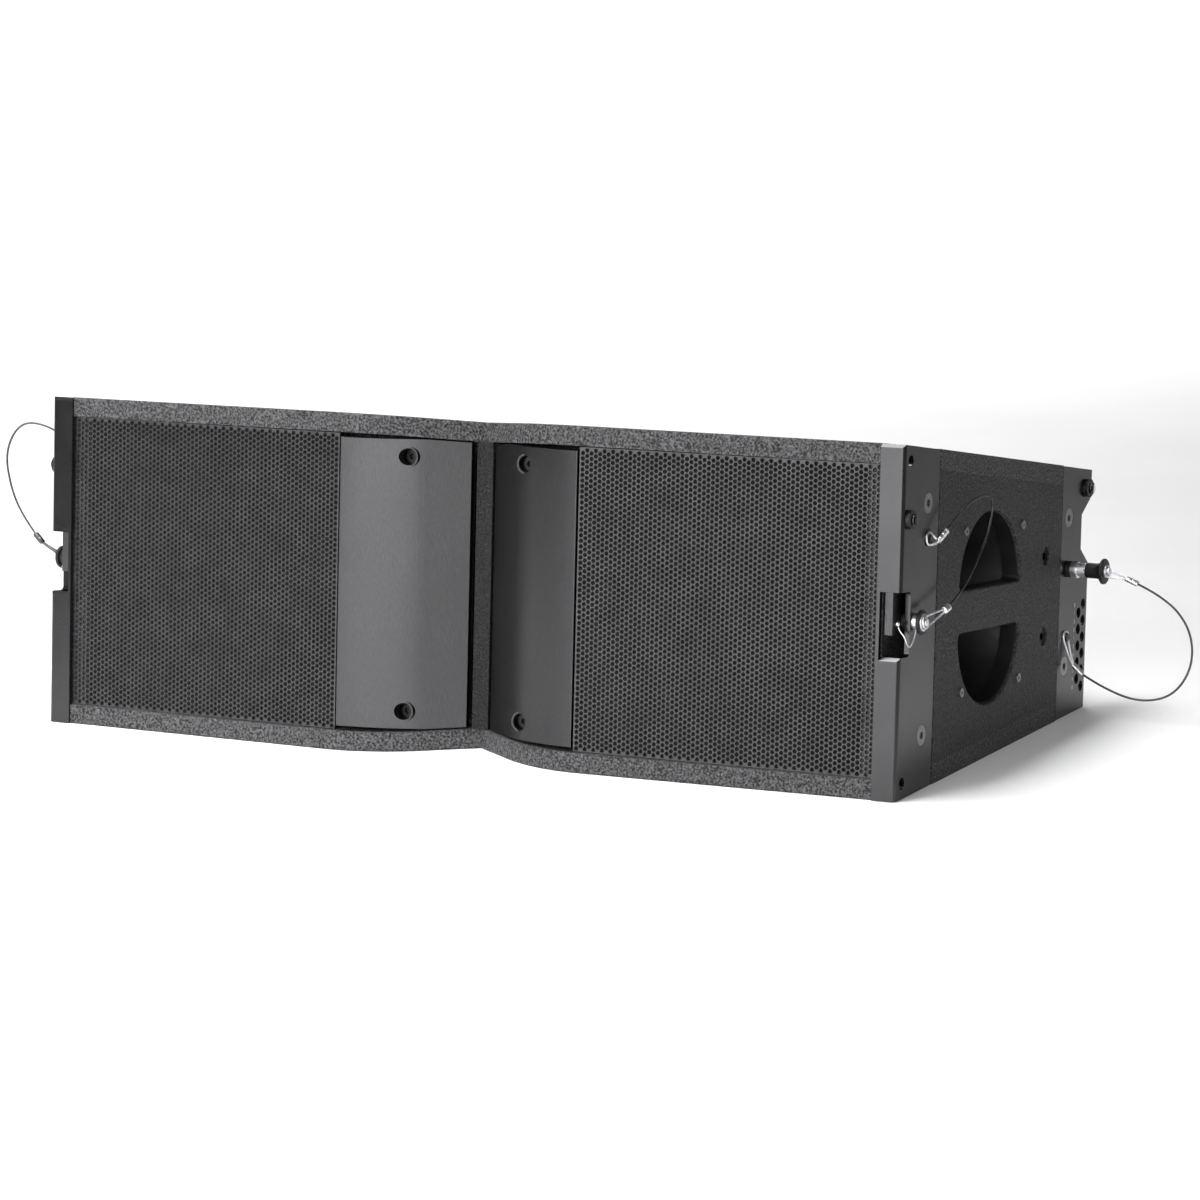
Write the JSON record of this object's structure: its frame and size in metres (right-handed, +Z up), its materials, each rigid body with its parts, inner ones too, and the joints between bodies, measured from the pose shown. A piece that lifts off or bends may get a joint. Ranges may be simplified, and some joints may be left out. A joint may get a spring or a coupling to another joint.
{
  "type": "line array speaker",
  "caption": "Wedge-shaped array speaker cabinet with V front, perforated grilles, curved centre plates, handles and pinned steel rigging.",
  "frame": {"origin": "middle of the sloping underside, which lies flat on the table", "axes": "+Z up from the underside, front faces -Y and leans back by the cabinet's taper, +X to the cabinet's right as seen from the front"},
  "size_m": [0.909, 0.3787, 0.2589],
  "materials": {
    "textured_paint": "black textured paint on plywood",
    "grille_steel": "perforated steel, black powder coat",
    "satin_plate": "brushed, black satin anodised",
    "rail_steel": "satin black powder coat",
    "bare_steel": "turned stainless steel",
    "link_steel": "black powder coat over steel bar",
    "screw_zinc": "grey plated screws",
    "screw_black": "black oxide screws",
    "black_plastic": "moulded, fine satin",
    "foam": "open-cell foam",
    "wire": "stranded steel wire, dull",
    "cone_paper": "coated paper pulp",
    "rubber": "moulded rubber",
    "cast_frame": "die-cast, painted",
    "magnet": "ferrite and steel",
    "board": "circuit board and parts"
  },
  "bodies": {
    "cabinet": {"top_panel": "textured_paint", "bottom_panel": "textured_paint", "rear_panel": "textured_paint", "centre_post": "textured_paint", "internal_braces": "textured_paint", "damping_foam": "foam", "grille_foam": "foam", "plate_screws": "screw_black", "rigging_screws": "screw_zinc", "rigging_spacers": "screw_zinc", "pin_bushes": "black_plastic", "link_guides": "black_plastic", "handle_screws": "screw_black", "woofer_baskets": "cast_frame", "woofer_motors": "magnet", "woofer_screws": "screw_black", "waveguides": "black_plastic", "compression_drivers": "magnet", "crossover": "board", "input_plate": "rail_steel", "input_sockets": "black_plastic", "lanyard_anchors": "wire", "lanyard_front_left": "wire", "lanyard_front_right": "wire", "lanyard_rear_right": "wire", "side_panel_left": "textured_paint", "baffle_left": "textured_paint", "grille_left": "grille_steel", "centre_plate_left": "satin_plate", "front_rail_left": "rail_steel", "rear_plate_left": "rail_steel", "handle_cup_left": "black_plastic", "suspension_left": "rubber", "side_panel_right": "textured_paint", "baffle_right": "textured_paint", "grille_right": "grille_steel", "centre_plate_right": "satin_plate", "front_rail_right": "rail_steel", "rear_plate_right": "rail_steel", "handle_cup_right": "black_plastic", "suspension_right": "rubber"},
    "front_link_left": {"front_link_left": "link_steel"},
    "rear_arm_left": {"rear_arm_left": "link_steel"},
    "cone_left": {"cone_left": "cone_paper"},
    "pin_front_left": {"pin_front_left": "bare_steel", "pin_grip_front_left": "black_plastic"},
    "button_front_left": {"pin_button_front_left": "bare_steel"},
    "pin_rear_left": {"pin_rear_left": "bare_steel", "pin_grip_rear_left": "black_plastic"},
    "button_rear_left": {"pin_button_rear_left": "bare_steel"},
    "front_link_right": {"front_link_right": "link_steel"},
    "rear_arm_right": {"rear_arm_right": "link_steel"},
    "cone_right": {"cone_right": "cone_paper"},
    "pin_front_right": {"pin_front_right": "bare_steel", "pin_grip_front_right": "black_plastic"},
    "button_front_right": {"pin_button_front_right": "bare_steel"},
    "pin_rear_right": {"pin_rear_right": "bare_steel", "pin_grip_rear_right": "black_plastic"},
    "button_rear_right": {"pin_button_rear_right": "bare_steel"}
  },
  "joints": [
    {"name": "front_link_slide_left", "type": "slide", "parent": "cabinet", "child": "front_link_left", "axis": [0, 0.1019, 0.9948], "range_m": [0, 0.068]},
    {"name": "rear_arm_slide_left", "type": "slide", "parent": "cabinet", "child": "rear_arm_left", "axis": [0, 0.1019, 0.9948], "range_m": [0, 0.104]},
    {"name": "cone_travel_left", "type": "slide", "parent": "cabinet", "child": "cone_left", "axis": [0, 0.9948, -0.1019], "range_m": [-0.006, 0.006], "stiffness_N_per_m": 1500, "deforming": ["suspension_left"]},
    {"name": "pin_pull_front_left", "type": "slide", "parent": "cabinet", "child": "pin_front_left", "axis": [-1, 0, 0], "range_m": [0, 0.028], "deforming": ["lanyard_front_left"]},
    {"name": "button_press_front_left", "type": "slide", "parent": "pin_front_left", "child": "button_front_left", "axis": [1, 0, 0], "range_m": [0, 0.002], "stiffness_N_per_m": 400},
    {"name": "pin_pull_rear_left", "type": "slide", "parent": "cabinet", "child": "pin_rear_left", "axis": [-1, 0, 0], "range_m": [0, 0.028]},
    {"name": "button_press_rear_left", "type": "slide", "parent": "pin_rear_left", "child": "button_rear_left", "axis": [1, 0, 0], "range_m": [0, 0.003], "stiffness_N_per_m": 400},
    {"name": "front_link_slide_right", "type": "slide", "parent": "cabinet", "child": "front_link_right", "axis": [0, 0.1019, 0.9948], "range_m": [0, 0.068]},
    {"name": "rear_arm_slide_right", "type": "slide", "parent": "cabinet", "child": "rear_arm_right", "axis": [0, 0.1019, 0.9948], "range_m": [0, 0.104]},
    {"name": "cone_travel_right", "type": "slide", "parent": "cabinet", "child": "cone_right", "axis": [0, 0.9948, -0.1019], "range_m": [-0.006, 0.006], "stiffness_N_per_m": 1500, "deforming": ["suspension_right"]},
    {"name": "pin_pull_front_right", "type": "slide", "parent": "cabinet", "child": "pin_front_right", "axis": [1, 0, 0], "range_m": [0, 0.028], "deforming": ["lanyard_front_right"]},
    {"name": "button_press_front_right", "type": "slide", "parent": "pin_front_right", "child": "button_front_right", "axis": [-1, 0, 0], "range_m": [0, 0.002], "stiffness_N_per_m": 400},
    {"name": "pin_pull_rear_right", "type": "slide", "parent": "cabinet", "child": "pin_rear_right", "axis": [1, 0, 0], "range_m": [0, 0.028], "deforming": ["lanyard_rear_right"]},
    {"name": "button_press_rear_right", "type": "slide", "parent": "pin_rear_right", "child": "button_rear_right", "axis": [-1, 0, 0], "range_m": [0, 0.003], "stiffness_N_per_m": 400}
  ]
}
